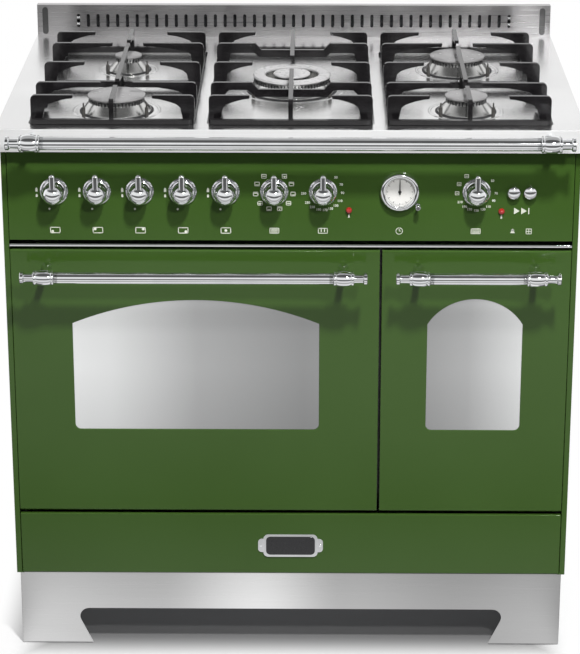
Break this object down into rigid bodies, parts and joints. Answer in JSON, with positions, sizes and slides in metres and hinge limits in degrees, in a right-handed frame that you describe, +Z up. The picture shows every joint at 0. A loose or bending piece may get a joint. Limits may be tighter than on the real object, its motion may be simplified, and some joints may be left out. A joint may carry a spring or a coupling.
{
  "type": "dual fuel range cooker",
  "caption": "Freestanding range cooker: gas hob with cast iron pan supports over a wide and a narrow electric oven, with a storage drawer and a steel plinth.",
  "frame": {"origin": "on the floor, at the middle of the footprint", "axes": "+Z up; +Y from the front to the wall; +X to the right as seen from the front"},
  "size_m": [0.9, 0.66, 0.941],
  "materials": {
    "green_enamel": "smooth gloss green enamel",
    "satin_steel": "satin stainless steel",
    "bright_chrome": "polished chrome",
    "black_enamel": "gloss black enamel",
    "cast_iron": "matt black enamelled cast iron",
    "zinc_sheet": "plain galvanised sheet",
    "reflective_glass": "grey reflective oven glass",
    "burner_alloy": "turned and polished aluminium",
    "cap_enamel": "grey enamelled burner caps",
    "gas_brass": "plain machined brass",
    "seal_rubber": "black heat-proof seal",
    "white_ceramic": "smooth white",
    "black_plastic": "matt black moulding",
    "red_lens": "clear red lens"
  },
  "bodies": {
    "cooker": {"side_panels": "green_enamel", "back_panel": "zinc_sheet", "base_panel": "zinc_sheet", "plinth": "satin_steel", "levelling_feet": "black_plastic", "control_panel": "green_enamel", "trim_strip": "bright_chrome", "front_frame": "black_enamel", "hob_top": "satin_steel", "splashback": "satin_steel", "hob_rail": "bright_chrome", "main_oven_liner": "black_enamel", "small_oven_liner": "black_enamel", "oven_seals": "seal_rubber", "side_racks": "bright_chrome", "wire_shelves": "bright_chrome", "fan_cover": "black_enamel", "fan_motor": "zinc_sheet", "grill_elements": "cast_iron", "burner_bodies": "burner_alloy", "burner_caps": "cap_enamel", "igniters": "white_ceramic", "gas_rail": "gas_brass", "oven_switches": "black_plastic", "clock_case": "bright_chrome", "clock_dial": "white_ceramic", "indicator_lamps": "red_lens", "knob_bezels": "bright_chrome"},
    "main_door": {"main_door_skin": "green_enamel", "main_door_inner": "black_enamel", "main_door_glass": "reflective_glass", "main_door_handle": "bright_chrome"},
    "small_door": {"small_door_skin": "green_enamel", "small_door_inner": "black_enamel", "small_door_glass": "reflective_glass", "small_door_handle": "bright_chrome"},
    "drawer": {"drawer_front": "green_enamel", "drawer_box": "zinc_sheet"},
    "fan_wheel": {"fan_wheel": "zinc_sheet"},
    "hour_hand": {"hour_hand": "black_plastic"},
    "minute_hand": {"minute_hand": "black_plastic"},
    "clock_stem": {"clock_stem": "bright_chrome"},
    "pan_support_left": {"pan_support_left": "cast_iron"},
    "pan_support_centre": {"pan_support_centre": "cast_iron"},
    "pan_support_right": {"pan_support_right": "cast_iron"},
    "button_left": {"button_left": "bright_chrome"},
    "button_right": {"button_right": "bright_chrome"},
    "spindle_1": {"spindle_1": "zinc_sheet"},
    "spindle_2": {"spindle_2": "zinc_sheet"},
    "spindle_3": {"spindle_3": "zinc_sheet"},
    "spindle_4": {"spindle_4": "zinc_sheet"},
    "spindle_5": {"spindle_5": "zinc_sheet"},
    "knob_1": {"knob_1": "bright_chrome"},
    "knob_2": {"knob_2": "bright_chrome"},
    "knob_3": {"knob_3": "bright_chrome"},
    "knob_4": {"knob_4": "bright_chrome"},
    "knob_5": {"knob_5": "bright_chrome"},
    "knob_6": {"knob_6": "bright_chrome"},
    "knob_7": {"knob_7": "bright_chrome"},
    "knob_8": {"knob_8": "bright_chrome"}
  },
  "joints": [
    {"name": "main_door_hinge", "type": "hinge", "parent": "cooker", "child": "main_door", "pos_m": [-0.1485, -0.252, 0.255], "axis": [1, 0, 0], "range_deg": [0, 90], "stiffness_Nm_per_rad": 5, "springref_deg": -20.05},
    {"name": "small_door_hinge", "type": "hinge", "parent": "cooker", "child": "small_door", "pos_m": [0.289, -0.252, 0.255], "axis": [1, 0, 0], "range_deg": [0, 90], "stiffness_Nm_per_rad": 2.5, "springref_deg": -20.05},
    {"name": "drawer_slide", "type": "slide", "parent": "cooker", "child": "drawer", "axis": [0, -1, 0], "range_m": [0, 0.35]},
    {"name": "fan_spin", "type": "hinge", "parent": "cooker", "child": "fan_wheel", "pos_m": [-0.1485, 0.17, 0.47], "axis": [0, 1, 0], "continuous": true},
    {"name": "minute_turn", "type": "hinge", "parent": "cooker", "child": "minute_hand", "pos_m": [0.168, -0.264, 0.7835], "axis": [0, 1, 0], "continuous": true},
    {"name": "hour_turn", "type": "hinge", "parent": "cooker", "child": "hour_hand", "pos_m": [0.168, -0.264, 0.7835], "axis": [0, 1, 0], "continuous": true},
    {"name": "clock_stem_turn", "type": "hinge", "parent": "cooker", "child": "clock_stem", "pos_m": [0.1959, -0.264, 0.7608], "axis": [0, 1, 0], "continuous": true},
    {"name": "left_support_lift", "type": "slide", "parent": "cooker", "child": "pan_support_left", "axis": [0, 0, 1], "range_m": [0, 0.08]},
    {"name": "centre_support_lift", "type": "slide", "parent": "cooker", "child": "pan_support_centre", "axis": [0, 0, 1], "range_m": [0, 0.08]},
    {"name": "right_support_lift", "type": "slide", "parent": "cooker", "child": "pan_support_right", "axis": [0, 0, 1], "range_m": [0, 0.08]},
    {"name": "left_button_press", "type": "slide", "parent": "cooker", "child": "button_left", "axis": [0, 1, 0], "range_m": [0, 0.003], "stiffness_N_per_m": 300, "springref_m": -0.002},
    {"name": "right_button_press", "type": "slide", "parent": "cooker", "child": "button_right", "axis": [0, 1, 0], "range_m": [0, 0.003], "stiffness_N_per_m": 300, "springref_m": -0.002},
    {"name": "spindle_1_turn", "type": "hinge", "parent": "cooker", "child": "spindle_1", "pos_m": [-0.364, -0.264, 0.7825], "axis": [0, -1, 0], "range_deg": [0, 160]},
    {"name": "knob_1_press", "type": "slide", "parent": "spindle_1", "child": "knob_1", "axis": [0, 1, 0], "range_m": [0, 0.004], "stiffness_N_per_m": 400, "springref_m": -0.003},
    {"name": "spindle_2_turn", "type": "hinge", "parent": "cooker", "child": "spindle_2", "pos_m": [-0.298, -0.264, 0.7825], "axis": [0, -1, 0], "range_deg": [0, 160]},
    {"name": "knob_2_press", "type": "slide", "parent": "spindle_2", "child": "knob_2", "axis": [0, 1, 0], "range_m": [0, 0.004], "stiffness_N_per_m": 400, "springref_m": -0.003},
    {"name": "spindle_3_turn", "type": "hinge", "parent": "cooker", "child": "spindle_3", "pos_m": [-0.232, -0.264, 0.7825], "axis": [0, -1, 0], "range_deg": [0, 160]},
    {"name": "knob_3_press", "type": "slide", "parent": "spindle_3", "child": "knob_3", "axis": [0, 1, 0], "range_m": [0, 0.004], "stiffness_N_per_m": 400, "springref_m": -0.003},
    {"name": "spindle_4_turn", "type": "hinge", "parent": "cooker", "child": "spindle_4", "pos_m": [-0.166, -0.264, 0.7825], "axis": [0, -1, 0], "range_deg": [0, 160]},
    {"name": "knob_4_press", "type": "slide", "parent": "spindle_4", "child": "knob_4", "axis": [0, 1, 0], "range_m": [0, 0.004], "stiffness_N_per_m": 400, "springref_m": -0.003},
    {"name": "spindle_5_turn", "type": "hinge", "parent": "cooker", "child": "spindle_5", "pos_m": [-0.1, -0.264, 0.7825], "axis": [0, -1, 0], "range_deg": [0, 160]},
    {"name": "knob_5_press", "type": "slide", "parent": "spindle_5", "child": "knob_5", "axis": [0, 1, 0], "range_m": [0, 0.004], "stiffness_N_per_m": 400, "springref_m": -0.003},
    {"name": "knob_6_turn", "type": "hinge", "parent": "cooker", "child": "knob_6", "pos_m": [-0.025, -0.264, 0.7825], "axis": [0, 1, 0], "continuous": true},
    {"name": "knob_7_turn", "type": "hinge", "parent": "cooker", "child": "knob_7", "pos_m": [0.05, -0.264, 0.7825], "axis": [0, 1, 0], "range_deg": [0, 270]},
    {"name": "knob_8_turn", "type": "hinge", "parent": "cooker", "child": "knob_8", "pos_m": [0.286, -0.264, 0.7825], "axis": [0, 1, 0], "range_deg": [0, 300]}
  ],
  "couplings": [
    {"joint": "hour_turn", "follows": "minute_turn", "ratio": 0.083333}
  ]
}
